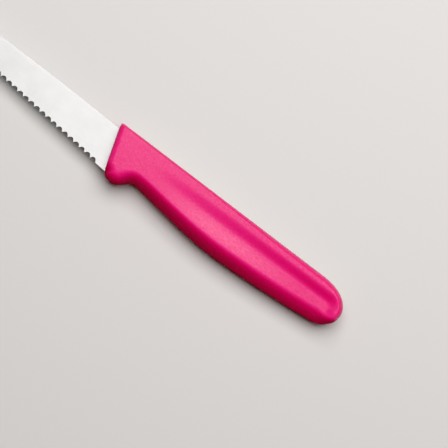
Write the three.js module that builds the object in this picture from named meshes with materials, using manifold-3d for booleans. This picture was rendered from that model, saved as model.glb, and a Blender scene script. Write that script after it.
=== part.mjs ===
// Serrated vegetable knife: a stamped steel blade, and a one-piece handle moulded round its tang.
// Millimetres, +Z up. The knife lies on its right side: its tip points to -X and its spine to +Y.

import * as THREE from "three";
import { mergeVertices } from "three/addons/utils/BufferGeometryUtils.js";
import Module from "manifold-3d";

const wasm = await Module();
wasm.setup();

// The knife is drawn from its left side. X starts where the handle's front meets its spine,
// and depths are measured down from the straight spine of the handle.

// Handle, from the side
const handleLength = 108; // front of the spine to the end of the butt
const handleThickness = 13;
const frontLean = 0.32; // the front face runs back this much for each millimetre of depth
const spineCorner = 1.3; // rounding where the front meets the spine
const guardDepth = 20.45; // lowest point of the finger guard
const guardFromFront = 9.9;
const guardCorner = 1.8; // depth of the rounding between the front and the guard
const guardLevel = 4; // how far the guard stays level behind its lowest point
const notchDepth = 15.87; // handle depth at the finger notch
const notchBehindGuard = 7.6;
const notchLevel = 3; // how far the notch stays level, before and behind
const bellyDepth = 19.5; // deepest part of the grip
const bellyBehindNotch = 36.5;
const bellyLevel = 12; // how far the belly stays level, before and behind
const buttDepth = 16.25; // underside of the handle where the butt starts to round
const buttSlope = 0.114; // of the underside there
const buttLead = 15; // how far the underside keeps that slope in front of the butt
const buttUnderRun = 7.5; // length of the rounding under the butt
const buttUnderLevel = 4.35; // how far that rounding follows the underside
const buttTopRun = 14; // length of the rounding above the butt
const buttTopLevel = 9.8; // how far that rounding follows the spine
const buttEndDepth = 8.5; // the end of the butt lies this far below the spine
const buttUpright = 3.85; // how far the end stays upright, above and below

// Handle, in cross-section
const frontRound = 2.3; // edge of the front face
const frontFullness = 0.5; // shape of a rounding: 0.5 is a quarter round, less is squarer, more straighter
const spineRound = 0.9; // how far the rounding reaches in from the spine, at the front
const spineRoundBehind = 1.7; // and behind the middle of the grip
const spineFullness = 0.18;
const spineFullnessBehind = 0.3;
const spineEdge = 1.35; // 1 leaves an edge on top of a rounding, 2 leaves none
const softEdge = 2;
const spineChangeStart = 35; // from the front, where the spine's rounding begins to change
const spineChangeEnd = 85;
const guardRound = 4.8; // how far the rounding reaches in from the underside, at the guard
const underRound = 5.5; // and under the grip
const underChangeEnd = 70; // from the front, where that change ends
const guardFullness = 0.52;
const underFullness = 0.95;
const underEdge = 1.75;
const keelRound = 1.2; // radius of the turn along the middle of the underside
const keelFade = 3; // how soon that turn runs out into the flank
const buttRound = 2.4; // at the butt's end
const buttFullness = 0.4;
const buttBlend = 9; // from the butt's end to where the other roundings have taken over
const roundLimit = 0.9; // most of a narrow section that the roundings may take
const ribWidth = 3.8; // rib along the spine, which keeps the full thickness, at the front
const ribWidthButt = 2.9; // and at the butt
const hollowDepth = 1.3; // how far the side of the grip sinks below the rib
const hollowStart = 20; // from the front, where the side begins to sink
const hollowLand = 14; // between the deepest part of the hollow and the butt's end
const hollowSlope = 4.3; // width of the slope from the rib down into the hollow
const hollowCorner = 5.5; // rounding of the hollow's corner between the rib and the butt
const crownHeight = 0.45; // the side rises this much again towards the belly
const crownRun = 6.5; // width of that rise
const crownEnd = 95; // from the front, where it has faded out behind the belly
const buttLand = 2.3; // between the end of the hollow and the butt's end
const buttOpening = 0.4; // how fast the hollow's end gives way to the flank, below the middle of the butt

// Blade
const bladeLength = 110; // front of the handle's spine to the tip
const bladeThickness = 1.2;
const edgeThickness = 0.5; // along the edge, before the teeth are ground
const spineCover = 2.5; // handle above the blade's spine
const guardCover = 2.05; // finger guard below the blade's heel
const tipDepth = 3.2;
const tipBlunt = 0.5; // length that the point is worn back
const spineArch = 2.3; // how far the middle of the blade's spine is drawn up
const heelRun = 44; // length of the nearly straight edge in front of the heel
const heelRise = 3.8; // how far the edge rises over that length
const tipRun = 12; // how far before the tip the edge turns up to it
const tipFullness = 6.8; // how far that turn lies below the tip
const flatBand = 4.5; // band under the spine that keeps the full thickness
const flatLimit = 0.4; // most of the narrow tip that this band may take

// Teeth, ground into the right side only
const toothPitch = 2.81;
const toothDepth = 1.4;
const toothRelief = 0.05; // the teeth's points lie this far inside the plain edge
const toothAngle = 15; // degrees between the ground grooves and the side of the blade
const plainHeel = 4.95; // edge without teeth, next to the handle
const plainTip = 11; // and next to the tip

// Tang, hidden in the handle
const tangTopCover = 4.2; // plastic above the tang
const tangUnderCover = 3.2; // plastic below the tang, at the finger notch
const tangEndCover = 24; // plastic behind the tang
const tangHoles = 3; // the plastic runs through these and locks the tang
const tangHoleWall = 1.8; // steel above and below a hole
const tangHoleLand = 7; // from a hole's centre to the tang's end, and to the blade's root
const mouldGap = 0.3; // between the steel and the plastic
const pocketReach = 5; // how far the cut for the blade runs out of the handle's front

// Fineness of the solids
const outlineSteps = 1000;
const handleStations = 68;
const roundSteps = 6;
const faceSteps = 11;
const bladeStations = 28;
const grooveSides = 72;
const roundSegments = 12;

const notchFromFront = guardFromFront + notchBehindGuard;
const bellyFromFront = notchFromFront + bellyBehindNotch;
const heelDepth = guardDepth - guardCover;

const point = (x, depth) => new THREE.Vector2(x, -depth);
const onFront = (depth) => point(frontLean * depth, depth);
const inSpace = (place, height) => new THREE.Vector3(place.x, place.y, height);
const buttEnd = point(handleLength, buttEndDepth);

// A solid for cutting and joining, from a closed geometry.
function solidOf(geometry) {
  const bare = geometry.clone();
  bare.deleteAttribute("normal");
  bare.deleteAttribute("uv");
  const merged = mergeVertices(bare, 1e-4);
  return new wasm.Manifold(
    new wasm.Mesh({
      numProp: 3,
      vertProperties: new Float32Array(merged.attributes.position.array),
      triVerts: new Uint32Array(merged.index.array),
    }),
  );
}

function geometryOf(solid) {
  const mesh = solid.getMesh();
  const geometry = new THREE.BufferGeometry();
  geometry.setAttribute("position", new THREE.BufferAttribute(mesh.vertProperties, 3));
  geometry.setIndex(new THREE.BufferAttribute(mesh.triVerts, 1));
  geometry.computeVertexNormals();
  return geometry;
}

// A closed body through rings of equally many points. Its first and last rings are single points.
function loft(rings) {
  const positions = rings.flat().flatMap((p) => [p.x, p.y, p.z]);
  const starts = [];
  let count = 0;
  for (const ring of rings) {
    starts.push(count);
    count += ring.length;
  }
  const index = [];
  for (let r = 0; r + 1 < rings.length; r++) {
    const sides = Math.max(rings[r].length, rings[r + 1].length);
    for (let k = 0; k < sides; k++) {
      const at = (ring, step) => starts[ring] + ((k + step) % rings[ring].length);
      if (rings[r].length > 1) index.push(at(r, 0), at(r, 1), at(r + 1, 0));
      if (rings[r + 1].length > 1) index.push(at(r, 1), at(r + 1, 1), at(r + 1, 0));
    }
  }
  const geometry = new THREE.BufferGeometry();
  geometry.setAttribute("position", new THREE.Float32BufferAttribute(positions, 3));
  geometry.setIndex(index);
  return geometry;
}

// Handle

function handleSpine() {
  const buttStart = point(handleLength - buttTopRun, 0);
  const path = new THREE.CurvePath();
  path.add(new THREE.QuadraticBezierCurve(onFront(spineCorner), point(0, 0), point(spineCorner, 0)));
  path.add(new THREE.LineCurve(point(spineCorner, 0), buttStart));
  path.add(
    new THREE.CubicBezierCurve(
      buttStart,
      point(buttStart.x + buttTopLevel, 0),
      point(handleLength, buttEndDepth - buttUpright),
      buttEnd,
    ),
  );
  return path;
}

function handleUnderside() {
  const guard = point(guardFromFront, guardDepth);
  const notch = point(notchFromFront, notchDepth);
  const belly = point(bellyFromFront, bellyDepth);
  const butt = point(handleLength - buttUnderRun, buttDepth);
  const alongButt = (run) => point(butt.x + run, buttDepth - buttSlope * run);
  const path = new THREE.CurvePath();
  path.add(new THREE.QuadraticBezierCurve(onFront(guardDepth - guardCorner), onFront(guardDepth), guard));
  path.add(
    new THREE.CubicBezierCurve(
      guard,
      point(guardFromFront + guardLevel, guardDepth),
      point(notchFromFront - notchLevel, notchDepth),
      notch,
    ),
  );
  path.add(
    new THREE.CubicBezierCurve(
      notch,
      point(notchFromFront + notchLevel, notchDepth),
      point(bellyFromFront - bellyLevel, bellyDepth),
      belly,
    ),
  );
  path.add(
    new THREE.CubicBezierCurve(
      belly,
      point(bellyFromFront + bellyLevel, bellyDepth),
      alongButt(-buttLead),
      butt,
    ),
  );
  path.add(
    new THREE.CubicBezierCurve(
      butt,
      alongButt(buttUnderLevel),
      point(handleLength, buttEndDepth + buttUpright),
      buttEnd,
    ),
  );
  return path;
}

// Height of a rounding, from 0 at its foot to 1 at its full width.
const rounding = (share, fullness, edge) =>
  (1 - (1 - THREE.MathUtils.clamp(share, 0, 1)) ** edge) ** fullness;

const distanceTo = (line, place) => Math.min(...line.map((spot) => spot.distanceTo(place)));

const towardsButt = (place) =>
  1 - THREE.MathUtils.smoothstep(place.distanceTo(buttEnd), buttRound, buttBlend);
const alongSpine = (x) => THREE.MathUtils.smoothstep(x, spineChangeStart, spineChangeEnd);
const alongUnder = (x) => THREE.MathUtils.smoothstep(x, guardFromFront, underChangeEnd);
const behindGuard = (x) => THREE.MathUtils.smoothstep(x, guardFromFront, notchFromFront + notchBehindGuard);

// A size that changes along the handle, and once more at the butt.
const blend = (front, behind, share, butt, place) =>
  THREE.MathUtils.lerp(THREE.MathUtils.lerp(front, behind, share), butt, towardsButt(place));

const spineWidth = (place) => blend(spineRound, spineRoundBehind, alongSpine(place.x), buttRound, place);
const underWidth = (place) => blend(guardRound, underRound, alongUnder(place.x), buttRound, place);

// How far a side of the handle lies below its full thickness at a place of the side view.
function sinkAt(place) {
  const { clamp, lerp, smoothstep } = THREE.MathUtils;
  const depth = -place.y;
  const rib = lerp(ribWidth, ribWidthButt, place.x / handleLength);
  const hollowEnd = rib + hollowSlope;
  const along = clamp((place.x - hollowStart) / (handleLength - hollowLand - hollowStart), 0, 1);
  const shortBelow = Math.max(0, hollowCorner - (depth - rib));
  const endX = handleLength - buttLand + buttOpening * Math.max(0, depth - buttEndDepth);
  const shortBehind = Math.max(0, hollowCorner - (endX - place.x));
  const inside = hollowCorner - Math.hypot(shortBelow, shortBehind);
  const hollow = hollowDepth * along * smoothstep(inside, 0, hollowSlope);
  const swell = smoothstep(place.x, hollowStart, bellyFromFront);
  const fade = smoothstep(place.x, bellyFromFront, crownEnd);
  const crown = crownHeight * (swell - fade) * smoothstep(depth, hollowEnd, hollowEnd + crownRun);
  return hollow - crown;
}

// Half of the handle's thickness at a place of the side view, rounded in from all its outlines.
function halfThickness(place, spineLine, underLine) {
  const { x, y } = place;
  const fromFront = (x + frontLean * y) / Math.hypot(1, frontLean);
  const frontLoss = frontRound * (1 - rounding(fromFront / frontRound, frontFullness, softEdge));
  const spineShape = blend(spineFullness, spineFullnessBehind, alongSpine(x), buttFullness, place);
  const spineTop = THREE.MathUtils.lerp(spineEdge, softEdge, towardsButt(place));
  const underShape = blend(guardFullness, underFullness, behindGuard(x), buttFullness, place);
  const underTop = blend(softEdge, underEdge, behindGuard(x), softEdge, place);
  const spine = rounding(distanceTo(spineLine, place) / spineWidth(place), spineShape, spineTop);
  const fromUnder = distanceTo(underLine, place);
  const underShare = Math.min(1, fromUnder / underWidth(place));
  const flank = rounding(underShare, underShape, underTop);
  const keel = Math.sqrt(2 * keelRound * fromUnder * (1 - underShare) ** keelFade) / (handleThickness / 2);
  return (handleThickness / 2 - frontLoss - sinkAt(place)) * Math.min(spine, Math.hypot(flank, keel));
}

function handleBody() {
  const { lerp } = THREE.MathUtils;
  const spine = handleSpine();
  const underside = handleUnderside();
  const spineLine = spine.getSpacedPoints(outlineSteps);
  const underLine = underside.getSpacedPoints(outlineSteps);

  // One cross-section, from a point of the spine to one of the underside, as a ring of points.
  function ring(top, bottom) {
    const width = top.distanceTo(bottom);
    const roundTop = spineWidth(top);
    const roundBottom = underWidth(bottom);
    const fit = Math.min(1, (roundLimit * width) / (roundTop + roundBottom));
    const faceStart = fit * roundTop;
    const faceEnd = width - fit * roundBottom;
    const turn = Math.PI / 2 / roundSteps;
    const across = [];
    for (let k = 1; k < roundSteps; k++) across.push(faceStart * (1 - Math.cos(k * turn)));
    for (let k = 0; k <= faceSteps; k++) across.push(lerp(faceStart, faceEnd, k / faceSteps));
    for (let k = 1; k < roundSteps; k++) across.push(lerp(faceEnd, width, Math.sin(k * turn)));
    const places = across.map((step) => top.clone().lerp(bottom, step / width));
    const left = places.map((place) => inSpace(place, halfThickness(place, spineLine, underLine)));
    const right = left.map((p) => inSpace(p, -p.z));
    return [inSpace(top, 0), ...left, inSpace(bottom, 0), ...right.reverse()];
  }

  const rings = [];
  for (let k = 0; k < handleStations; k++) {
    const share = (1 - Math.cos((k / handleStations) * Math.PI)) / 2;
    rings.push(ring(spine.getPointAt(share), underside.getPointAt(share)));
  }
  const frontCentre = spine.getPointAt(0).lerp(underside.getPointAt(0), 0.5);
  return loft([[inSpace(frontCentre, 0)], ...rings, [inSpace(spine.getPointAt(1), 0)]]);
}

// Blade

const tip = point(-bladeLength, tipDepth);
const heel = onFront(heelDepth);
const bladeSpine = new THREE.QuadraticBezierCurve(
  onFront(spineCover),
  point(-bladeLength / 2, (spineCover + tipDepth) / 2 - spineArch),
  tip,
);
const bladeEdge = new THREE.CubicBezierCurve(
  heel,
  point(heel.x - heelRun, heelDepth - heelRise),
  point(tip.x + tipRun, tipDepth + tipFullness),
  tip,
);

// One cross-section of the blade, from its spine to its edge, grown by a margin on every side.
function bladeRing(spinePoint, edgePoint, thicknessAtEdge, margin) {
  const down = edgePoint.clone().sub(spinePoint);
  const width = down.length();
  down.normalize();
  const flat = spinePoint.clone().addScaledVector(down, Math.min(flatBand, flatLimit * width));
  const left = [
    inSpace(spinePoint.clone().addScaledVector(down, -margin), bladeThickness / 2 + margin),
    inSpace(flat, bladeThickness / 2 + margin),
    inSpace(edgePoint.clone().addScaledVector(down, margin), thicknessAtEdge / 2 + margin),
  ];
  const right = left.map((p) => inSpace(p, -p.z));
  return [...left, ...right.reverse()];
}

// The blade from its root, over the lowest point of the guard, to a length in front of the handle.
function bladeBody(length, margin) {
  const rootX = guardFromFront + margin;
  const root = [point(rootX, spineCover), point(rootX, heelDepth)];
  const reach = length / bladeSpine.getLength();
  const rings = [bladeRing(...root, bladeThickness, margin)];
  for (let k = 0; k <= bladeStations; k++) {
    const share = (reach * k) / bladeStations;
    rings.push(bladeRing(bladeSpine.getPointAt(share), bladeEdge.getPointAt(share), edgeThickness, margin));
  }
  const rootCentre = root[0].clone().lerp(root[1], 0.5);
  const endCentre = bladeSpine.getPointAt(reach).lerp(bladeEdge.getPointAt(reach), 0.5);
  return loft([[inSpace(endCentre, 0)], ...rings.reverse(), [inSpace(rootCentre, 0)]]);
}

// The tang, a strip with a round end and locking holes, grown by a margin on every side.
function tangBody(margin) {
  const width = notchDepth - tangTopCover - tangUnderCover;
  const radius = width / 2 + margin;
  const axis = -(tangTopCover + width / 2);
  const start = (onFront(spineCover).x + guardFromFront) / 2;
  const end = handleLength - tangEndCover;
  const roundAt = end - width / 2;
  const strip = new THREE.Shape();
  strip.moveTo(start, axis - radius);
  strip.lineTo(roundAt, axis - radius);
  strip.absarc(roundAt, axis, radius, -Math.PI / 2, Math.PI / 2);
  strip.lineTo(start, axis + radius);
  strip.closePath();
  const holeRadius = width / 2 - tangHoleWall - margin;
  for (let k = 0; k < tangHoles; k++) {
    const x = THREE.MathUtils.lerp(guardFromFront + tangHoleLand, end - tangHoleLand, k / (tangHoles - 1));
    strip.holes.push(new THREE.Path().absarc(x, axis, holeRadius, 0, 2 * Math.PI));
  }
  const depth = bladeThickness + 2 * margin;
  const settings = { depth, bevelEnabled: false, curveSegments: roundSegments };
  return new THREE.ExtrudeGeometry(strip, settings).translate(0, 0, -depth / 2);
}

// A round groove, ground at an angle from the right side, that leaves one gap between two teeth.
function grooveBody(along) {
  const slope = THREE.MathUtils.degToRad(toothAngle);
  const sagitta = toothDepth * Math.sin(slope);
  const radius = ((toothPitch / 2) ** 2 + sagitta ** 2) / (2 * sagitta);
  const reach = (bladeThickness + radius) / Math.sin(slope);
  const tangent = bladeEdge.getTangentAt(along);
  const inward = new THREE.Vector3(tangent.y, -tangent.x, 0);
  const up = new THREE.Vector3(0, 0, 1);
  const axis = inward.clone().multiplyScalar(Math.cos(slope)).addScaledVector(up, -Math.sin(slope));
  const outward = inward.clone().multiplyScalar(-Math.sin(slope)).addScaledVector(up, -Math.cos(slope));
  const centre = inSpace(bladeEdge.getPointAt(along), edgeThickness / 2);
  centre.addScaledVector(inward, toothRelief + toothDepth).addScaledVector(outward, radius);
  const groove = new THREE.CylinderGeometry(radius, radius, 2 * reach, grooveSides);
  const turn = new THREE.Matrix4().makeBasis(outward, axis, outward.clone().cross(axis));
  return groove.applyMatrix4(turn.setPosition(centre));
}

function blade() {
  let steel = solidOf(bladeBody(bladeSpine.getLength() - tipBlunt, 0)).add(solidOf(tangBody(0)));
  const edgeLength = bladeEdge.getLength();
  const gaps = Math.floor((edgeLength - plainHeel - plainTip) / toothPitch);
  for (let k = 0; k < gaps; k++) {
    const along = (plainHeel + (k + 0.5) * toothPitch) / edgeLength;
    steel = steel.subtract(solidOf(grooveBody(along)));
  }
  return geometryOf(steel);
}

function handle() {
  const pocket = solidOf(bladeBody(pocketReach, mouldGap)).add(solidOf(tangBody(mouldGap)));
  return geometryOf(solidOf(handleBody()).subtract(pocket));
}

const steelFinish = new THREE.MeshStandardMaterial({ color: 0xd9dadb, roughness: 0.3, metalness: 1 });
const plasticFinish = new THREE.MeshStandardMaterial({ color: 0xe0176b, roughness: 0.45, metalness: 0 });

const bladeMesh = new THREE.Mesh(blade(), steelFinish);
bladeMesh.name = "blade";
const handleMesh = new THREE.Mesh(handle(), plasticFinish);
handleMesh.name = "handle";

// The drawing is laid on its right side, with the middle of the knife's footprint at the origin.
const drawing = new THREE.Group();
drawing.add(bladeMesh, handleMesh);
const middle = new THREE.Box3().setFromObject(drawing).getCenter(new THREE.Vector3());
drawing.position.set(-middle.x, -middle.y, handleThickness / 2);

const knife = new THREE.Group();
knife.add(drawing);
export default knife;
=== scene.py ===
import bisect
import math

import bmesh
import bpy
from mathutils import Matrix, Vector
from mathutils.geometry import interpolate_bezier
from mathutils.kdtree import KDTree


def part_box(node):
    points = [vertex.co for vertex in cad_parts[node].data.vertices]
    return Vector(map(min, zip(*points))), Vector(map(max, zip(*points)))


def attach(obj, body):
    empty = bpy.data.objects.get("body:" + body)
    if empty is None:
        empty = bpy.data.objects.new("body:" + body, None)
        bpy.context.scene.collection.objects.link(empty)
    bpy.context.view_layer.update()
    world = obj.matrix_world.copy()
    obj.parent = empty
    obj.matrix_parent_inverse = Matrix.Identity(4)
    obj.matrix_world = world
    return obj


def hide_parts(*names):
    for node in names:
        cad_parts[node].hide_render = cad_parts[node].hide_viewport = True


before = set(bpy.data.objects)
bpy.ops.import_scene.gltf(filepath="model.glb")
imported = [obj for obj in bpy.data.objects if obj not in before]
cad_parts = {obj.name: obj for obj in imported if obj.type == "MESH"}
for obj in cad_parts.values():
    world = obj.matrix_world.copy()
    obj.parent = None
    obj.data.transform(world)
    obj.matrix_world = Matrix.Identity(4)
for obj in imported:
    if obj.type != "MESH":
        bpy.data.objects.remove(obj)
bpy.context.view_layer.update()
handleLow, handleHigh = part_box("handle")
mm = 0.001
samePlace = 1e-6               # places this near count as one
weld = 1e-7                    # points this near are merged
facing = 0.9                   # a normal this far along an axis faces that way
levelTop = 2                   # edge of a rounding that runs level into the face

# Handle as seen from its left side, x from the front of the spine and depth down from the spine
handleShape = dict(
    length=108 * mm,
    frontLean=0.32,            # run of the front face for each unit of depth
    spineCorner=1.3 * mm,
    guardFromFront=9.9 * mm,   # lowest point of the finger guard
    guardDepth=20.45 * mm,
    guardCorner=1.8 * mm,
    guardLevel=4 * mm,         # how far the guard stays level
    notchBehindGuard=7.6 * mm,
    notchDepth=15.87 * mm,
    notchLevel=3 * mm,
    bellyBehindNotch=36.5 * mm,
    bellyDepth=19.5 * mm,
    bellyLevel=12 * mm,
    buttDepth=16.25 * mm,
    buttSlope=0.114,
    buttLead=15 * mm,          # how straight the underside comes to the butt
    buttUnderRun=7.5 * mm,     # the butt's turn starts this far from its end, on the underside
    buttUnderLevel=4.35 * mm,
    buttTopRun=14 * mm,        # and on the spine
    buttTopLevel=9.8 * mm,
    buttEndDepth=8.5 * mm,
    buttUpright=3.85 * mm,     # how upright the end stands
    thickness=handleHigh.z - handleLow.z,
    frontRound=2.3 * mm,
    frontFullness=0.5,
    frontInset=0.1 * mm,       # narrow border that keeps the front face's shading flat
    spineRound=(0.9 * mm, 1.7 * mm),   # how far the roundings reach in, at the front and behind the middle
    guardRound=4.8 * mm,
    underRound=5.5 * mm,
    buttRound=2.4 * mm,
    spineFullness=(0.18, 0.3),         # 0.5 is a quarter round, less is squarer, more is a straighter flank
    spineEdge=1.35,                    # 1 leaves an edge on top of the rounding, 2 none
    spineChange=(35 * mm, 85 * mm),
    guardFullness=0.52,
    underFullness=0.95,
    underEdge=1.75,
    keelRound=1.2 * mm,        # turn along the middle of the underside
    keelFade=3,                # how soon that turn is lost in the flank
    underChange=70 * mm,       # the underside has its full rounding from here on
    buttFullness=0.4,
    buttBlend=9 * mm,          # reach of the butt's own rounding
    roundLimit=0.9,            # most of a narrow section that the roundings take
    ribWidth=(3.8 * mm, 2.9 * mm),     # rib along the spine, at the front and at the butt
    hollowDepth=1.3 * mm,      # the grip's side sinks this much below the rib
    hollowStart=20 * mm,
    hollowLand=14 * mm,        # it is deepest this far from the butt's end
    hollowSlope=4.3 * mm,      # width of its wall
    hollowCorner=5.5 * mm,     # turn of that wall at the butt
    crownHeight=0.45 * mm,     # the side rises again towards the belly
    crownRun=6.5 * mm,
    crownEnd=95 * mm,
    buttLand=2.3 * mm,         # rim at the butt
    buttOpening=0.4,           # the hollow's end gives way to the flank below the butt's middle
    columns=150,
    columnSweep=0.96,          # of a half turn: columns close up at the front and at the butt
    spineRows=10,
    faceRows=28,
    underRows=14,
)

frontX = handleHigh.x - handleShape["length"]
spineY = handleHigh.y
middleZ = (handleLow.z + handleHigh.z) / 2


# drawing helpers, in the knife's own middle plane
def spot(x, depth):
    return Vector((frontX + x, spineY - depth, 0))


def frontSpot(depth):
    return spot(handleShape["frontLean"] * depth, depth)


def bend(start, corner, end, steps=160):
    reach = 2 / 3                                     # one corner shared by both ends
    return interpolate_bezier(start, start.lerp(corner, reach), end.lerp(corner, reach), end, steps)


def curve(start, leave, arrive, end, steps=400):
    return interpolate_bezier(start, leave, arrive, end, steps)


def lengthsAlong(points):
    lengths = [0.0]
    for before, after in zip(points, points[1:]):
        lengths.append(lengths[-1] + (after - before).length)
    return lengths


def pointsAt(points, shares):
    lengths = lengthsAlong(points)
    found = []
    for share in shares:
        goal = share * lengths[-1]
        k = min(max(bisect.bisect_right(lengths, goal), 1), len(points) - 1)
        part = (goal - lengths[k - 1]) / (lengths[k] - lengths[k - 1])
        found.append(points[k - 1].lerp(points[k], part))
    return found


def denseTree(points, count=5000):
    tree = KDTree(count + 1)
    for k, place in enumerate(pointsAt(points, [k / count for k in range(count + 1)])):
        tree.insert(place, k)
    tree.balance()
    return tree


def smoothStep(value, low, high):
    share = min(max((value - low) / (high - low), 0), 1)
    return share * share * (3 - 2 * share)


def rounding(share, fullness, edge=levelTop):
    return (1 - (1 - min(max(share, 0), 1)) ** edge) ** fullness


def mix(a, b, share):
    return a + (b - a) * share


# modelling helpers
def only(obj):
    bpy.ops.object.select_all(action="DESELECT")
    obj.select_set(True)
    bpy.context.view_layer.objects.active = obj


def applyModifier(obj, kind, **settings):
    only(obj)
    bpy.ops.object.modifier_add(type=kind)
    modifier = obj.modifiers[-1]
    for name, value in settings.items():
        setattr(modifier, name, value)
    bpy.ops.object.modifier_apply(modifier=modifier.name)


def startGrid(name, columns, rows, size):
    bpy.ops.object.select_all(action="DESELECT")
    bpy.ops.mesh.primitive_grid_add(
        x_subdivisions=columns, y_subdivisions=rows, size=size, location=(0, 0, 0))
    obj = bpy.context.active_object
    obj.name = name
    return obj


def placeGrid(obj, columns, rows, size, placeOf):
    bpy.ops.object.mode_set(mode="EDIT")
    mesh = bmesh.from_edit_mesh(obj.data)
    for vert in mesh.verts:
        column = round((vert.co.x / size + 0.5) * columns)
        row = round((0.5 - vert.co.y / size) * rows)
        vert.co = placeOf(column, row)
    bmesh.update_edit_mesh(obj.data)
    bpy.ops.mesh.select_all(action="SELECT")
    bpy.ops.mesh.remove_doubles(threshold=weld)
    bpy.ops.object.mode_set(mode="OBJECT")


def selectFaces(obj, wanted):
    mesh = bmesh.from_edit_mesh(obj.data)
    bpy.ops.mesh.select_all(action="DESELECT")
    for face in mesh.faces:
        if wanted(face):
            face.select_set(True)
    mesh.select_flush(True)
    bmesh.update_edit_mesh(obj.data)


def selectEdges(obj, wanted):
    mesh = bmesh.from_edit_mesh(obj.data)
    bpy.ops.mesh.select_all(action="DESELECT")
    for edge in mesh.edges:
        if wanted(edge):
            edge.select_set(True)
    bmesh.update_edit_mesh(obj.data)


def outwards(obj):
    only(obj)
    bpy.ops.object.mode_set(mode="EDIT")
    bpy.ops.mesh.select_all(action="SELECT")
    bpy.ops.mesh.remove_doubles(threshold=weld)
    bpy.ops.mesh.normals_make_consistent(inside=False)
    bpy.ops.object.mode_set(mode="OBJECT")


def cutWith(obj, cutter):
    applyModifier(obj, "BOOLEAN", operation="DIFFERENCE", solver="EXACT", object=cutter)


def settle(obj):
    obj.location.z = middleZ
    only(obj)
    bpy.ops.object.transform_apply(location=True, rotation=True, scale=True)


# Handle
def handleOutlines():
    h = handleShape
    topStart = spot(h["length"] - h["buttTopRun"], 0)
    buttEnd = spot(h["length"], h["buttEndDepth"])
    spine = bend(frontSpot(h["spineCorner"]), spot(0, 0), spot(h["spineCorner"], 0))
    spine += curve(
        topStart,
        spot(h["length"] - h["buttTopRun"] + h["buttTopLevel"], 0),
        spot(h["length"], h["buttEndDepth"] - h["buttUpright"]),
        buttEnd,
    )
    guard = h["guardFromFront"]
    notch = guard + h["notchBehindGuard"]
    belly = notch + h["bellyBehindNotch"]
    butt = h["length"] - h["buttUnderRun"]

    def alongButt(run):
        return spot(butt + run, h["buttDepth"] - h["buttSlope"] * run)

    under = bend(
        frontSpot(h["guardDepth"] - h["guardCorner"]),
        frontSpot(h["guardDepth"]),
        spot(guard, h["guardDepth"]),
    )
    under += curve(
        spot(guard, h["guardDepth"]),
        spot(guard + h["guardLevel"], h["guardDepth"]),
        spot(notch - h["notchLevel"], h["notchDepth"]),
        spot(notch, h["notchDepth"]),
    )[1:]
    under += curve(
        spot(notch, h["notchDepth"]),
        spot(notch + h["notchLevel"], h["notchDepth"]),
        spot(belly - h["bellyLevel"], h["bellyDepth"]),
        spot(belly, h["bellyDepth"]),
    )[1:]
    under += curve(
        spot(belly, h["bellyDepth"]),
        spot(belly + h["bellyLevel"], h["bellyDepth"]),
        alongButt(-h["buttLead"]),
        alongButt(0),
    )[1:]
    under += curve(
        alongButt(0),
        alongButt(h["buttUnderLevel"]),
        spot(h["length"], h["buttEndDepth"] + h["buttUpright"]),
        buttEnd,
    )[1:]
    return spine, under


def towardsButt(place):
    h = handleShape
    fromEnd = (place - spot(h["length"], h["buttEndDepth"])).length
    return 1 - smoothStep(fromEnd, h["buttRound"], h["buttBlend"])


def spineWidth(place):
    h = handleShape
    grip = mix(*h["spineRound"], smoothStep(place.x - frontX, *h["spineChange"]))
    return mix(grip, h["buttRound"], towardsButt(place))


def behindGuard(x):
    h = handleShape
    return smoothStep(x, h["guardFromFront"], h["guardFromFront"] + 2 * h["notchBehindGuard"])


def underWidth(place):
    h = handleShape
    along = smoothStep(place.x - frontX, h["guardFromFront"], h["underChange"])
    return mix(mix(h["guardRound"], h["underRound"], along), h["buttRound"], towardsButt(place))


def sinkAt(x, depth):
    h = handleShape
    belly = h["guardFromFront"] + h["notchBehindGuard"] + h["bellyBehindNotch"]
    rib = mix(*h["ribWidth"], x / h["length"])
    hollowEnd = rib + h["hollowSlope"]
    along = (x - h["hollowStart"]) / (h["length"] - h["hollowLand"] - h["hollowStart"])
    corner = h["hollowCorner"]
    shortBelow = max(0, corner - (depth - rib))
    endX = h["length"] - h["buttLand"] + h["buttOpening"] * max(0, depth - h["buttEndDepth"])
    shortBehind = max(0, corner - (endX - x))
    inside = corner - math.hypot(shortBelow, shortBehind)
    hollow = h["hollowDepth"] * min(max(along, 0), 1) * smoothStep(inside, 0, h["hollowSlope"])
    swell = smoothStep(x, h["hollowStart"], belly) - smoothStep(x, belly, h["crownEnd"])
    crown = h["crownHeight"] * swell * smoothStep(depth, hollowEnd, hollowEnd + h["crownRun"])
    return hollow - crown


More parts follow.
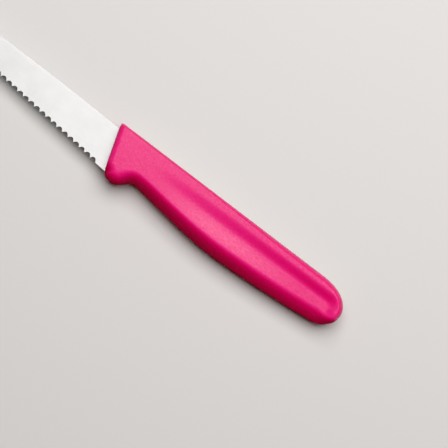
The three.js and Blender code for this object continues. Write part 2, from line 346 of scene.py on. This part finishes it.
def makeHandle():
    h = handleShape
    spine, under = handleOutlines()
    spineTree = denseTree(spine)
    underTree = denseTree(under)
    sweep = h["columnSweep"] * math.pi
    turns = [sweep * k / h["columns"] for k in range(h["columns"] + 1)]
    shares = [(1 - math.cos(turn)) / (1 - math.cos(sweep)) for turn in turns]
    tops = pointsAt(spine, shares)
    bottoms = pointsAt(under, shares)
    rows = h["spineRows"] + h["faceRows"] + h["underRows"]
    lean = h["frontLean"]

    def acrossAt(row, top, bottom):
        width = (bottom - top).length
        roundTop = spineWidth(top)
        roundBottom = underWidth(bottom)
        fit = min(1, h["roundLimit"] * width / (roundTop + roundBottom))
        faceStart = fit * roundTop
        faceEnd = width - fit * roundBottom
        if row < h["spineRows"]:
            return faceStart * (1 - math.cos(row / h["spineRows"] * math.pi / 2)) / width
        row -= h["spineRows"]
        if row < h["faceRows"]:
            return mix(faceStart, faceEnd, row / h["faceRows"]) / width
        row -= h["faceRows"]
        return mix(faceEnd, width, math.sin(row / h["underRows"] * math.pi / 2)) / width

    def halfThickness(place):
        x = place.x - frontX
        depth = spineY - place.y
        butt = towardsButt(place)
        fromFront = (x - lean * depth) / math.hypot(1, lean)
        frontLoss = h["frontRound"] * (1 - rounding(fromFront / h["frontRound"], h["frontFullness"]))
        spineShape = mix(*h["spineFullness"], smoothStep(x, *h["spineChange"]))
        spineShape = mix(spineShape, h["buttFullness"], butt)
        underShape = mix(h["guardFullness"], h["underFullness"], behindGuard(x))
        underShape = mix(underShape, h["buttFullness"], butt)
        spineEdge = mix(h["spineEdge"], levelTop, butt)
        underEdge = mix(mix(levelTop, h["underEdge"], behindGuard(x)), levelTop, butt)
        spineSide = rounding(spineTree.find(place)[2] / spineWidth(place), spineShape, spineEdge)
        fromUnder = underTree.find(place)[2]
        underShare = min(1, fromUnder / underWidth(place))
        keel = math.sqrt(2 * h["keelRound"] * fromUnder * (1 - underShare) ** h["keelFade"])
        flank = rounding(underShare, underShape, underEdge)
        underSide = math.hypot(flank, keel / (h["thickness"] / 2))
        return (h["thickness"] / 2 - frontLoss - sinkAt(x, depth)) * min(spineSide, underSide)

    def placeOf(column, row):
        top = tops[column]
        bottom = bottoms[column]
        if row == 0 or (bottom - top).length < samePlace:
            return top
        if row == rows:
            return bottom
        place = top.lerp(bottom, acrossAt(row, top, bottom))
        return place + Vector((0, 0, halfThickness(place)))

    obj = startGrid("handle_body", h["columns"], rows, h["length"])
    placeGrid(obj, h["columns"], rows, h["length"], placeOf)
    applyModifier(obj, "MIRROR", use_axis=(False, False, True), use_clip=True, merge_threshold=samePlace)
    bpy.ops.object.mode_set(mode="EDIT")
    selectEdges(obj, lambda edge: edge.is_boundary)
    bpy.ops.mesh.edge_face_add()                      # the slanted front face
    bpy.ops.mesh.inset(thickness=h["frontInset"], depth=0)
    bpy.ops.object.mode_set(mode="OBJECT")
    outwards(obj)
    return obj


# Blade, drawn in the same way
bladeShape = dict(
    length=110 * mm,           # front of the handle's spine to the tip
    thickness=1.2 * mm,
    edgeThickness=0.5 * mm,
    spineCover=2.5 * mm,
    guardCover=2.05 * mm,
    tipDepth=3.2 * mm,
    tipBlunt=0.5 * mm,
    spineArch=2.3 * mm,
    heelRun=44 * mm,
    heelRise=3.8 * mm,
    tipRun=12 * mm,
    tipFullness=6.8 * mm,
    flatBand=4.5 * mm,         # full thickness under the spine
    flatLimit=0.4,
    spineEase=0.12 * mm,       # rubbed-down corners of the spine
    spineEaseSteps=3,
    tangTopCover=4.2 * mm,
    tangUnderCover=3.2 * mm,
    tangEndCover=24 * mm,
    tangEndRound=0.999,        # of a half round, so that its two corners don't meet
    tangEndSteps=16,
    tangHoles=3,
    tangHoleWall=1.8 * mm,
    tangHoleLand=7 * mm,
    tangHoleSides=48,
    mouthGap=0.04 * mm,        # plastic shrunk tight round the steel
    columns=72,
)


def bladeOutlines(grow=0):
    b = bladeShape
    heelDepth = handleShape["guardDepth"] - b["guardCover"] + grow
    tip = spot(-b["length"], b["tipDepth"])
    heel = frontSpot(heelDepth)
    middle = spot(-b["length"] / 2, (b["spineCover"] + b["tipDepth"]) / 2 - b["spineArch"])
    spine = bend(frontSpot(b["spineCover"] - grow), middle, tip, steps=600)
    edge = curve(
        heel,
        heel + Vector((-b["heelRun"], b["heelRise"], 0)),
        tip + Vector((b["tipRun"], -b["tipFullness"], 0)),
        tip,
        steps=900,
    )
    return spine, edge


def makeBlank(name, grow=0):
    b = bladeShape
    spine, edge = bladeOutlines(grow)
    heelDepth = handleShape["guardDepth"] - b["guardCover"] + grow
    spineDepth = b["spineCover"] - grow
    rootX = handleShape["guardFromFront"] + grow
    tangTop = b["tangTopCover"] - grow
    tangBottom = handleShape["notchDepth"] - b["tangUnderCover"] + grow
    tangEnd = handleShape["length"] - b["tangEndCover"] + grow
    length = lengthsAlong(spine)[-1]
    reach = (length - b["tipBlunt"]) / length
    count = b["columns"] - 1
    shares = [reach * math.sin(math.pi / 2 * k / count) for k in range(count + 1)]
    tops = [spot(rootX, spineDepth)] + pointsAt(spine, shares)
    bottoms = [spot(rootX, heelDepth)] + pointsAt(edge, shares)
    flatRoot = spineDepth + b["flatBand"]
    bandShare = (tangTop - spineDepth) / b["flatBand"]
    grindShare = (tangBottom - flatRoot) / (heelDepth - flatRoot)

    # lines of points: spine, top of the tang, end of the flat band, underside of the tang, edge
    rows = 4

    def placeOf(column, row):
        top = tops[column]
        bottom = bottoms[column]
        width = (bottom - top).length
        flat = min(b["flatBand"], b["flatLimit"] * width)
        across = [0, bandShare * flat, flat, mix(flat, width, grindShare), width][row]
        grind = [0, 0, 0, grindShare, 1][row] * (column > 0)
        half = mix(b["thickness"], b["edgeThickness"], grind) / 2 + grow
        return top.lerp(bottom, across / width) + Vector((0, 0, half))

    obj = startGrid(name, b["columns"], rows, b["length"])
    placeGrid(obj, b["columns"], rows, b["length"], placeOf)
    applyModifier(obj, "MIRROR", use_axis=(False, False, True), use_mirror_merge=False)
    bpy.ops.object.mode_set(mode="EDIT")
    selectEdges(obj, lambda edge: edge.is_boundary)
    bpy.ops.mesh.bridge_edge_loops()                  # walls along spine, tip, edge and root
    bpy.ops.object.mode_set(mode="OBJECT")
    outwards(obj)

    # the tang is drawn out of the middle of the root, and its end is rounded
    only(obj)
    bpy.ops.object.mode_set(mode="EDIT")
    rootAt = spot(rootX, 0).x
    endAt = spot(tangEnd, 0).x
    tangYs = (spineY - tangTop, spineY - tangBottom)
    selectFaces(
        obj,
        lambda face: face.normal.x > facing
        and abs(face.calc_center_median().x - rootAt) < samePlace
        and tangYs[1] < face.calc_center_median().y < tangYs[0],
    )
    bpy.ops.mesh.extrude_region_move(TRANSFORM_OT_translate={"value": (tangEnd - rootX, 0, 0)})

    def tangCorner(edge):
        a = edge.verts[0].co
        c = edge.verts[1].co
        upright = abs(a.x - c.x) + abs(a.y - c.y) < samePlace
        atEnd = abs(a.x - endAt) < samePlace
        atSide = min(abs(a.y - y) for y in tangYs) < samePlace
        return upright and atEnd and atSide

    selectEdges(obj, tangCorner)
    endRadius = (tangBottom - tangTop) / 2 * b["tangEndRound"]
    bpy.ops.mesh.bevel(offset=endRadius, segments=b["tangEndSteps"], affect="EDGES")
    bpy.ops.object.mode_set(mode="OBJECT")
    outwards(obj)
    return obj


def easeSpine(obj):
    b = bladeShape
    only(obj)
    bpy.ops.object.mode_set(mode="EDIT")

    def spineCorner(edge):
        if len(edge.link_faces) != 2:
            return False
        ys = sorted(face.normal.y for face in edge.link_faces)
        zs = sorted(abs(face.normal.z) for face in edge.link_faces)
        return ys[1] > facing and zs[1] > facing

    selectEdges(obj, spineCorner)
    bpy.ops.mesh.bevel(offset=b["spineEase"], segments=b["spineEaseSteps"], affect="EDGES")
    bpy.ops.object.mode_set(mode="OBJECT")
    outwards(obj)


def levelFaces(obj):                                  # before cuts, so that no face is twisted
    only(obj)
    bpy.ops.object.mode_set(mode="EDIT")
    bpy.ops.mesh.select_all(action="SELECT")
    bpy.ops.mesh.quads_convert_to_tris()
    bpy.ops.object.mode_set(mode="OBJECT")


def drillTang(obj, grow=0):
    b = bladeShape
    tangTop = b["tangTopCover"]
    tangBottom = handleShape["notchDepth"] - b["tangUnderCover"]
    radius = (tangBottom - tangTop) / 2 - b["tangHoleWall"] - grow
    first = handleShape["guardFromFront"] + b["tangHoleLand"]
    last = handleShape["length"] - b["tangEndCover"] - b["tangHoleLand"]
    for k in range(b["tangHoles"]):
        place = spot(mix(first, last, k / (b["tangHoles"] - 1)), (tangTop + tangBottom) / 2)
        bpy.ops.object.select_all(action="DESELECT")
        bpy.ops.mesh.primitive_cylinder_add(
            vertices=b["tangHoleSides"], radius=radius, depth=3 * b["thickness"], location=place)
        drill = bpy.context.active_object
        cutWith(obj, drill)
        bpy.data.objects.remove(drill)


def cutMouth(handle):
    gap = bladeShape["mouthGap"]
    core = makeBlank("mouth_core", gap)
    levelFaces(core)
    drillTang(core, gap)
    levelFaces(core)
    cutWith(handle, core)
    bpy.data.objects.remove(core)


# Teeth, ground into the right side only
teethShape = dict(
    pitch=2.81 * mm,
    depth=1.4 * mm,
    relief=0.05 * mm,
    angle=math.radians(15),
    plainHeel=4.95 * mm,
    plainTip=11 * mm,
    sides=128,
)


def grindTeeth(blank):
    t = teethShape
    b = bladeShape
    edge = bladeOutlines()[1]
    edgeLength = lengthsAlong(edge)[-1]
    sagitta = t["depth"] * math.sin(t["angle"])
    radius = ((t["pitch"] / 2) ** 2 + sagitta ** 2) / (2 * sagitta)
    reach = (b["thickness"] + radius) / math.sin(t["angle"])
    gaps = int((edgeLength - t["plainHeel"] - t["plainTip"]) / t["pitch"])
    bpy.ops.object.select_all(action="DESELECT")
    bpy.ops.mesh.primitive_cylinder_add(
        vertices=t["sides"], radius=radius, depth=2 * reach, location=(0, 0, 0))
    wheel = bpy.context.active_object
    step = 0.05 * mm                                  # for the direction of the edge
    for k in range(gaps):
        along = t["plainHeel"] + (k + 0.5) * t["pitch"]
        before, at, after = pointsAt(edge, [(along + d) / edgeLength for d in (-step, 0, step)])
        tangent = (after - before).normalized()
        inward = Vector((tangent.y, -tangent.x, 0))
        up = Vector((0, 0, 1))
        axis = inward * math.cos(t["angle"]) - up * math.sin(t["angle"])
        away = -inward * math.sin(t["angle"]) - up * math.cos(t["angle"])
        centre = at + up * b["edgeThickness"] / 2 + inward * (t["relief"] + t["depth"]) + away * radius
        turn = Matrix((away, axis.cross(away), axis)).transposed().to_4x4()
        wheel.matrix_world = Matrix.Translation(centre) @ turn
        bpy.context.view_layer.update()
        cutWith(blank, wheel)
    bpy.data.objects.remove(wheel)
    return gaps


# Materials
def newMaterial(name):
    material = bpy.data.materials.new(name)
    material.use_nodes = True
    nodes = material.node_tree.nodes
    return material, nodes, material.node_tree.links, nodes["Principled BSDF"]


def mathNode(nodes, links, operation, first, second, clamp=False):
    result = nodes.new("ShaderNodeMath")
    result.operation = operation
    result.use_clamp = clamp
    links.new(first, result.inputs[0])
    links.new(second, result.inputs[1])
    return result.outputs["Value"]


def rangeNode(nodes, links, value, before, after, ease="LINEAR"):
    spread = nodes.new("ShaderNodeMapRange")
    spread.interpolation_type = ease
    spread.inputs["From Min"].default_value = before[0]
    spread.inputs["From Max"].default_value = before[1]
    spread.inputs["To Min"].default_value = after[0]
    spread.inputs["To Max"].default_value = after[1]
    links.new(value, spread.inputs["Value"])
    return spread.outputs["Result"]


def colourMix(nodes, links, share, first, second):
    blend = nodes.new("ShaderNodeMix")
    blend.data_type = "RGBA"
    links.new(share, blend.inputs["Factor"])
    for name, colour in (("A", first), ("B", second)):
        if isinstance(colour, bpy.types.NodeSocket):
            links.new(colour, blend.inputs[name])
        else:
            blend.inputs[name].default_value = colour
    return blend.outputs["Result"]


def bumpNode(nodes, links, height, distance):
    bump = nodes.new("ShaderNodeBump")
    bump.inputs["Distance"].default_value = distance
    links.new(height, bump.inputs["Height"])
    return bump.outputs["Normal"]


def seenRays(nodes, links):                           # 1 for the camera, in reflections and through glass
    rays = nodes.new("ShaderNodeLightPath").outputs
    mirrored = mathNode(nodes, links, "MAXIMUM", rays["Is Glossy Ray"], rays["Is Transmission Ray"])
    return mathNode(nodes, links, "MAXIMUM", rays["Is Camera Ray"], mirrored)


# Fine grain, in the plastic as mould texture and in the steel as lines
grainSetup = dict(
    detail=2.0,
    roughness=0.55,
    cloudScale=140.0,             # soft clouds of colour, to the metre
    cloudDetail=3.0,
    middle=(0.3, 0.7),            # most of the noise lies in here
)


def grainGroup():
    g = grainSetup
    group = bpy.data.node_groups.new("fine_grain", "ShaderNodeTree")
    group.interface.new_socket("Size", in_out="INPUT", socket_type="NodeSocketFloat")
    group.interface.new_socket("Stretch", in_out="INPUT", socket_type="NodeSocketVector")
    group.interface.new_socket("Grain", in_out="OUTPUT", socket_type="NodeSocketFloat")
    group.interface.new_socket("Cloud", in_out="OUTPUT", socket_type="NodeSocketFloat")
    nodes = group.nodes
    links = group.links
    inlet = nodes.new("NodeGroupInput")
    outlet = nodes.new("NodeGroupOutput")
    place = nodes.new("ShaderNodeTexCoord")
    stretch = nodes.new("ShaderNodeVectorMath")
    stretch.operation = "MULTIPLY"
    perSize = nodes.new("ShaderNodeMath")
    perSize.operation = "DIVIDE"
    perSize.inputs[0].default_value = 1.0
    fine = nodes.new("ShaderNodeTexNoise")
    fine.inputs["Detail"].default_value = g["detail"]
    fine.inputs["Roughness"].default_value = g["roughness"]
    cloud = nodes.new("ShaderNodeTexNoise")
    cloud.inputs["Scale"].default_value = g["cloudScale"]
    cloud.inputs["Detail"].default_value = g["cloudDetail"]
    links.new(place.outputs["Object"], stretch.inputs[0])
    links.new(inlet.outputs["Stretch"], stretch.inputs[1])
    links.new(inlet.outputs["Size"], perSize.inputs[1])
    links.new(stretch.outputs["Vector"], fine.inputs["Vector"])
    links.new(perSize.outputs["Value"], fine.inputs["Scale"])
    links.new(place.outputs["Object"], cloud.inputs["Vector"])
    links.new(fine.outputs["Fac"], outlet.inputs["Grain"])
    links.new(cloud.outputs["Fac"], outlet.inputs["Cloud"])
    return group


def placeGrain(nodes, group, size, stretch):
    grain = nodes.new("ShaderNodeGroup")
    grain.node_tree = group
    grain.inputs["Size"].default_value = size
    grain.inputs["Stretch"].default_value = stretch
    return grain


plasticFinish = dict(
    colour=(0.88, 0.002, 0.195, 1),
    darker=(0.85, 0.002, 0.185, 1),
    paintedShade=(0.86, 0.001, 0.1, 1),       # painted shade: the underside is coloured a deeper red that stands in for the shade falling there
    paintedShadeLean=(-0.7, -0.15),           # lean towards the underside over which the painted shade fades out
    spineBounce=(0.25, 0.2, 0.2, 1),    # colour that the spine throws on the floor
    roughness=0.6,
    gloss=(0.55, 1.0),                  # from grain to grain
    glossRoughness=0.32,
    textured=(-0.45, -0.15),            # lean over which the texture takes the gloss away
    texturedGloss=0.06,                 # and what it leaves
    ior=1.52,
    grainSize=0.8 * mm,
    grainHeight=0.13 * mm,
)


def plasticMaterial(group):
    p = plasticFinish
    noise = grainSetup["middle"]
    material, nodes, links, shader = newMaterial("raspberry_plastic")
    grain = placeGrain(nodes, group, p["grainSize"], (1, 1, 1))
    rays = nodes.new("ShaderNodeLightPath")
    place = nodes.new("ShaderNodeTexCoord")
    axes = nodes.new("ShaderNodeSeparateXYZ")
    links.new(place.outputs["Normal"], axes.inputs["Vector"])
    lean = axes.outputs["Y"]                          # 1 faces the spine's side, -1 the underside's

    cloud = rangeNode(nodes, links, grain.outputs["Cloud"], noise, (0, 1))
    tint = colourMix(nodes, links, cloud, p["darker"], p["colour"])
    # painted shade: the underside takes the deeper red, fading out as its lean turns upwards
    paintedShadeFade = rangeNode(nodes, links, lean, p["paintedShadeLean"], (0, 1))
    seen = colourMix(nodes, links, paintedShadeFade, p["paintedShade"], tint)
    muted = mathNode(nodes, links, "MULTIPLY", lean, rays.outputs["Is Diffuse Ray"], clamp=True)
    links.new(colourMix(nodes, links, muted, seen, p["spineBounce"]), shader.inputs["Base Color"])

    fade = rangeNode(nodes, links, lean, p["textured"], (p["texturedGloss"], 1))
    speckle = rangeNode(nodes, links, grain.outputs["Grain"], noise, p["gloss"])
    links.new(mathNode(nodes, links, "MULTIPLY", fade, speckle), shader.inputs["Coat Weight"])
    links.new(bumpNode(nodes, links, grain.outputs["Grain"], p["grainHeight"]), shader.inputs["Normal"])
    shader.inputs["Roughness"].default_value = p["roughness"]
    shader.inputs["Specular IOR Level"].default_value = 0.0      # all gloss is the coat's
    shader.inputs["Coat Roughness"].default_value = p["glossRoughness"]
    shader.inputs["Coat IOR"].default_value = p["ior"]
    return material


steelFinish = dict(
    colour=(0.53, 0.53, 0.53, 1),
    brighter=(0.56, 0.56, 0.56, 1),
    roughness=(0.58, 0.64),
    stretchedGloss=0.8,           # across the lines of the finish
    lineWidth=0.12 * mm,
    lineStretch=(0.02, 1, 1),
    lineHeight=0.002 * mm,
)


def steelMaterial(group):
    s = steelFinish
    noise = grainSetup["middle"]
    material, nodes, links, shader = newMaterial("satin_blade_steel")
    grain = placeGrain(nodes, group, s["lineWidth"], s["lineStretch"])
    cloud = rangeNode(nodes, links, grain.outputs["Cloud"], noise, (0, 1))
    lines = rangeNode(nodes, links, grain.outputs["Grain"], noise, s["roughness"])
    links.new(colourMix(nodes, links, cloud, s["colour"], s["brighter"]), shader.inputs["Base Color"])
    links.new(lines, shader.inputs["Roughness"])
    links.new(bumpNode(nodes, links, grain.outputs["Grain"], s["lineHeight"]), shader.inputs["Normal"])
    across = nodes.new("ShaderNodeTangent")
    across.direction_type = "RADIAL"
    across.axis = "X"
    links.new(across.outputs["Tangent"], shader.inputs["Tangent"])
    shader.inputs["Anisotropic"].default_value = s["stretchedGloss"]
    shader.inputs["Metallic"].default_value = 1.0
    return material


# Stage: plain pale floor, softbox on the spine's side, camera straight above
stageSetup = dict(
    floorSize=6.0,
    floorColour=(0.775, 0.745, 0.725, 1),
    floorBounce=(0.33, 0.24, 0.09, 1),  # what it throws back on the knife
    floorRoughness=0.9,
    floorSpecular=0.2,
    backdrop=(0.70, 0.665, 0.645, 1),   # the pale surroundings that the camera and the steel see
    floorFade=(0.16, 0.5),              # the floor turns into them at this distance from the knife
    boxSize=(0.84, 0.69),
    boxDistance=0.9,
    boxLean=math.radians(24),     # from straight up towards the spine's side
    boxTurn=math.radians(7),      # and from there towards the tip
    boxPower=9.8,
    sky=((0.0, 0.5), (0.04, 0.3), (0.09, 0.02), (0.8, 0.015), (1.0, 0.015)),  # height and brightness
    aim=(52.92 * mm, 7.08 * mm),  # what the middle of the picture looks at
    turn=math.radians(37.32),
    lens=100.0,
    sensor=36.0,
    pictureWidth=166.84 * mm,
    clip=(0.01, 20.0),
)


def makeFloor():
    s = stageSetup
    bpy.ops.object.select_all(action="DESELECT")
    bpy.ops.mesh.primitive_plane_add(size=s["floorSize"], location=(0, 0, 0))
    floor = bpy.context.active_object
    floor.name = "floor"
    material, nodes, links, shader = newMaterial("pale_floor")
    rays = nodes.new("ShaderNodeLightPath")
    tone = colourMix(nodes, links, rays.outputs["Is Diffuse Ray"], s["floorColour"], s["floorBounce"])
    links.new(tone, shader.inputs["Base Color"])
    shader.inputs["Roughness"].default_value = s["floorRoughness"]
    shader.inputs["Specular IOR Level"].default_value = s["floorSpecular"]
    place = nodes.new("ShaderNodeTexCoord")
    far = nodes.new("ShaderNodeVectorMath")
    far.operation = "LENGTH"
    links.new(place.outputs["Object"], far.inputs[0])
    fade = rangeNode(nodes, links, far.outputs["Value"], s["floorFade"], (0, 1), "SMOOTHSTEP")
    share = mathNode(nodes, links, "MULTIPLY", fade, seenRays(nodes, links))
    pale = nodes.new("ShaderNodeEmission")
    pale.inputs["Color"].default_value = s["backdrop"]
    blend = nodes.new("ShaderNodeMixShader")
    links.new(share, blend.inputs["Fac"])
    links.new(shader.outputs["BSDF"], blend.inputs[1])
    links.new(pale.outputs["Emission"], blend.inputs[2])
    links.new(blend.outputs["Shader"], nodes["Material Output"].inputs["Surface"])
    floor.data.materials.append(material)


def makeSky():
    s = stageSetup
    world = bpy.data.worlds.new("studio")
    bpy.context.scene.world = world
    world.use_nodes = True
    nodes = world.node_tree.nodes
    links = world.node_tree.links
    place = nodes.new("ShaderNodeTexCoord")
    split = nodes.new("ShaderNodeSeparateXYZ")
    ramp = nodes.new("ShaderNodeValToRGB")
    stops = ramp.color_ramp.elements
    for k, (height, level) in enumerate(s["sky"]):
        stop = stops[k] if k < 2 else stops.new(height)          # a new ramp has two
        stop.position = height
        stop.color = (level, level, level, 1)
    links.new(place.outputs["Generated"], split.inputs["Vector"])
    links.new(split.outputs["Z"], ramp.inputs["Fac"])
    tone = colourMix(nodes, links, seenRays(nodes, links), ramp.outputs["Color"], s["backdrop"])
    links.new(tone, nodes["Background"].inputs["Color"])


def makeLightAndCamera():
    s = stageSetup
    centre = spot(*s["aim"])
    aside = Vector((-math.sin(s["boxTurn"]), math.cos(s["boxTurn"]), 0))
    away = aside * math.sin(s["boxLean"]) + Vector((0, 0, math.cos(s["boxLean"])))
    bpy.ops.object.light_add(type="AREA", location=centre + away * s["boxDistance"])
    box = bpy.context.active_object
    box.name = "softbox"
    box.data.shape = "RECTANGLE"
    box.data.size = s["boxSize"][0]
    box.data.size_y = s["boxSize"][1]
    box.data.energy = s["boxPower"]
    box.rotation_euler = (s["boxLean"], 0, s["boxTurn"] + math.pi)
    distance = s["pictureWidth"] * s["lens"] / s["sensor"]
    above = centre + Vector((0, 0, middleZ + distance))
    bpy.ops.object.camera_add(location=above, rotation=(0, 0, s["turn"]))
    camera = bpy.context.active_object
    camera.data.lens = s["lens"]
    camera.data.sensor_width = s["sensor"]
    camera.data.clip_start = s["clip"][0]
    camera.data.clip_end = s["clip"][1]
    bpy.context.scene.camera = camera
    bpy.context.scene.view_settings.view_transform = "Standard"


handle = makeHandle()
print("handle shaped:", len(handle.data.polygons), "faces")
cutMouth(handle)
print("mouth for the blade cut")
blade = makeBlank("blade_steel_body")
easeSpine(blade)
levelFaces(blade)
drillTang(blade)
print("blade blank with tang:", len(blade.data.polygons), "faces")
print("tooth gaps ground:", grindTeeth(blade))

grain = grainGroup()
# each piece with its finish, the node it replaces, its slot and its smoothing angle in degrees
for piece, material, node, slotName, smoothUpTo in (
    (handle, plasticMaterial(grain), "handle", "handle_plastic", 25),
    (blade, steelMaterial(grain), "blade", "blade_steel", 15),
):
    outwards(piece)
    settle(piece)
    bpy.ops.object.shade_smooth_by_angle(angle=math.radians(smoothUpTo))
    piece.data.materials.clear()
    piece.data.materials.append(material)
    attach(piece, "root")
    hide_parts(node)
print("finishes on")

makeFloor()
makeSky()
makeLightAndCamera()
print("floor, light and camera set")
